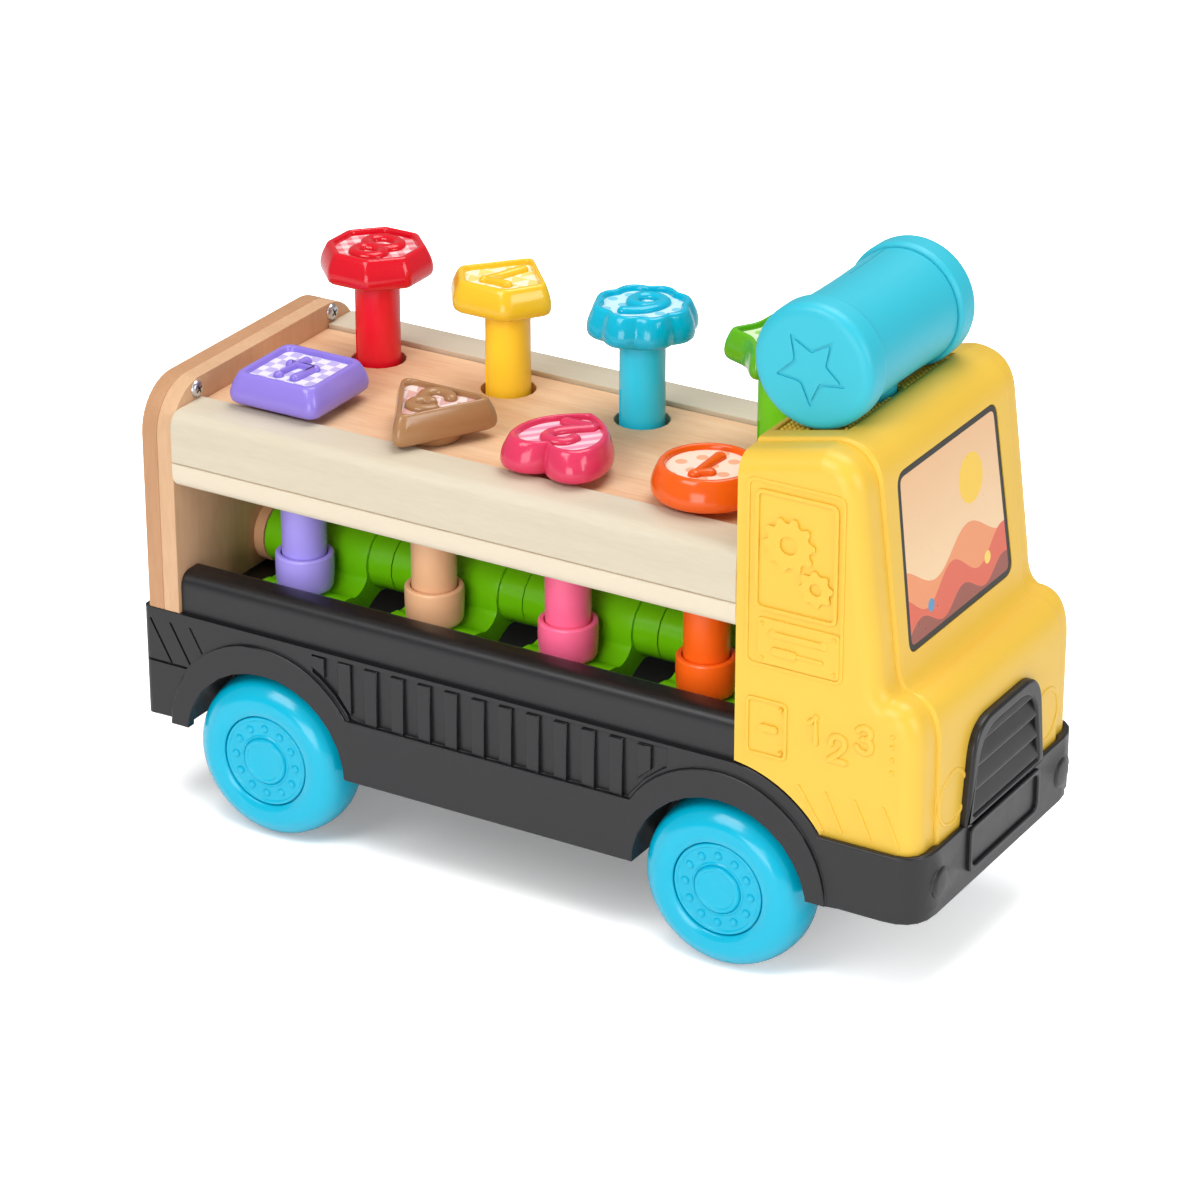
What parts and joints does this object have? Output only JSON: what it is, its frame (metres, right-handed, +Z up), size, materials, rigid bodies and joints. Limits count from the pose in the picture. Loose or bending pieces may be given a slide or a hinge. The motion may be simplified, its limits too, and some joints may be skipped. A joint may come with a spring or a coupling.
{
  "type": "pounding toy truck",
  "caption": "Push-along toy truck with shaped pegs in a wooden bed: pounding a peg turns a rocker and lifts the peg opposite; a mallet stands in the cab roof",
  "frame": {"origin": "on the floor under the middle of the truck's bounding box", "axes": "+X along the truck towards the cab's nose, +Y to the truck's left, +Z up"},
  "size_m": [0.311, 0.121, 0.2365],
  "materials": {
    "black_plastic": "satin",
    "tan_wood": "satin",
    "pale_wood": "satin",
    "bed_wood": "satin",
    "yellow_plastic": "satin",
    "blue_plastic": "gloss",
    "mallet_plastic": "satin",
    "green_plastic": "gloss",
    "steel": "brushed",
    "printed_panel": "satin",
    "orange_plastic": "gloss",
    "pink_plastic": "gloss",
    "brown_plastic": "gloss",
    "tan_plastic": "gloss",
    "purple_plastic": "gloss",
    "leaf_plastic": "gloss",
    "cyan_plastic": "gloss",
    "sun_plastic": "gloss",
    "red_plastic": "gloss"
  },
  "bodies": {
    "truck": {"chassis_tub": "black_plastic", "side_skirt_right": "black_plastic", "side_skirt_left": "black_plastic", "base_plate": "black_plastic", "front_bumper": "black_plastic", "grille": "black_plastic", "cab_shell": "yellow_plastic", "windscreen": "printed_panel", "tailboard_inner": "tan_wood", "tailboard_outer": "tan_wood", "tailboard_screw_right": "steel", "tailboard_screw_left": "steel", "rail_right": "pale_wood", "rail_left": "pale_wood", "peg_board": "bed_wood", "rocker_rod": "steel", "spacer_rear": "tan_wood", "spacer_front": "tan_wood"},
    "wheelset_rear": {"axle_rear": "steel", "wheel_rear_right": "blue_plastic", "wheel_rear_left": "blue_plastic", "hub_rear_right": "blue_plastic", "hub_rear_left": "blue_plastic"},
    "wheelset_front": {"axle_front": "steel", "wheel_front_right": "blue_plastic", "wheel_front_left": "blue_plastic", "hub_front_right": "blue_plastic", "hub_front_left": "blue_plastic"},
    "mallet": {"mallet_barrel": "mallet_plastic", "mallet_cap_right": "mallet_plastic", "mallet_cap_left": "mallet_plastic", "mallet_handle": "mallet_plastic"},
    "rocker_a": {"rocker_1": "green_plastic"},
    "rocker_b": {"rocker_2": "green_plastic"},
    "rocker_c": {"rocker_3": "green_plastic"},
    "rocker_d": {"rocker_4": "green_plastic"},
    "peg_1": {"peg_1_head": "orange_plastic", "peg_1_stem": "orange_plastic", "peg_1_foot": "orange_plastic"},
    "peg_2": {"peg_2_head": "pink_plastic", "peg_2_stem": "pink_plastic", "peg_2_foot": "pink_plastic"},
    "peg_3": {"peg_3_head": "brown_plastic", "peg_3_stem": "tan_plastic", "peg_3_foot": "tan_plastic"},
    "peg_4": {"peg_4_head": "purple_plastic", "peg_4_stem": "purple_plastic", "peg_4_foot": "purple_plastic"},
    "peg_5": {"peg_5_head": "leaf_plastic", "peg_5_stem": "leaf_plastic", "peg_5_foot": "leaf_plastic"},
    "peg_6": {"peg_6_head": "cyan_plastic", "peg_6_stem": "cyan_plastic", "peg_6_foot": "cyan_plastic"},
    "peg_7": {"peg_7_head": "sun_plastic", "peg_7_stem": "sun_plastic", "peg_7_foot": "sun_plastic"},
    "peg_8": {"peg_8_head": "red_plastic", "peg_8_stem": "red_plastic", "peg_8_foot": "red_plastic"}
  },
  "joints": [
    {"name": "rear_axle_spin", "type": "hinge", "parent": "truck", "child": "wheelset_rear", "pos_m": [-0.1043, 0, 0.03073], "axis": [0, 1, 0], "continuous": true},
    {"name": "front_axle_spin", "type": "hinge", "parent": "truck", "child": "wheelset_front", "pos_m": [0.0784, 0, 0.03073], "axis": [0, 1, 0], "continuous": true},
    {"name": "mallet_lift", "type": "slide", "parent": "truck", "child": "mallet", "axis": [0, 0, 1], "range_m": [0, 0.12]},
    {"name": "rocker_a_tilt", "type": "hinge", "parent": "truck", "child": "rocker_a", "pos_m": [-0.1085, 0, 0.09], "axis": [1, 0, 0], "range_deg": [-60, 0]},
    {"name": "rocker_b_tilt", "type": "hinge", "parent": "truck", "child": "rocker_b", "pos_m": [-0.0543, 0, 0.09], "axis": [1, 0, 0], "range_deg": [-60, 0]},
    {"name": "rocker_c_tilt", "type": "hinge", "parent": "truck", "child": "rocker_c", "pos_m": [-0.0001, 0, 0.09], "axis": [1, 0, 0], "range_deg": [-60, 0]},
    {"name": "rocker_d_tilt", "type": "hinge", "parent": "truck", "child": "rocker_d", "pos_m": [0.0541, 0, 0.09], "axis": [1, 0, 0], "range_deg": [-60, 0]},
    {"name": "peg_1_slide", "type": "slide", "parent": "truck", "child": "peg_1", "axis": [0, 0, 1], "range_m": [0, 0.029]},
    {"name": "peg_2_slide", "type": "slide", "parent": "truck", "child": "peg_2", "axis": [0, 0, 1], "range_m": [0, 0.029]},
    {"name": "peg_3_slide", "type": "slide", "parent": "truck", "child": "peg_3", "axis": [0, 0, 1], "range_m": [0, 0.029]},
    {"name": "peg_4_slide", "type": "slide", "parent": "truck", "child": "peg_4", "axis": [0, 0, 1], "range_m": [0, 0.029]},
    {"name": "peg_5_slide", "type": "slide", "parent": "truck", "child": "peg_5", "axis": [0, 0, 1], "range_m": [-0.029, 0]},
    {"name": "peg_6_slide", "type": "slide", "parent": "truck", "child": "peg_6", "axis": [0, 0, 1], "range_m": [-0.029, 0]},
    {"name": "peg_7_slide", "type": "slide", "parent": "truck", "child": "peg_7", "axis": [0, 0, 1], "range_m": [-0.029, 0]},
    {"name": "peg_8_slide", "type": "slide", "parent": "truck", "child": "peg_8", "axis": [0, 0, 1], "range_m": [-0.029, 0]}
  ],
  "couplings": [
    {"joint": "peg_4_slide", "follows": "rocker_a_tilt", "m_per_rad": -0.02769},
    {"joint": "peg_8_slide", "follows": "rocker_a_tilt", "m_per_rad": 0.02769},
    {"joint": "peg_3_slide", "follows": "rocker_b_tilt", "m_per_rad": -0.02769},
    {"joint": "peg_7_slide", "follows": "rocker_b_tilt", "m_per_rad": 0.02769},
    {"joint": "peg_2_slide", "follows": "rocker_c_tilt", "m_per_rad": -0.02769},
    {"joint": "peg_6_slide", "follows": "rocker_c_tilt", "m_per_rad": 0.02769},
    {"joint": "peg_1_slide", "follows": "rocker_d_tilt", "m_per_rad": -0.02769},
    {"joint": "peg_5_slide", "follows": "rocker_d_tilt", "m_per_rad": 0.02769}
  ]
}
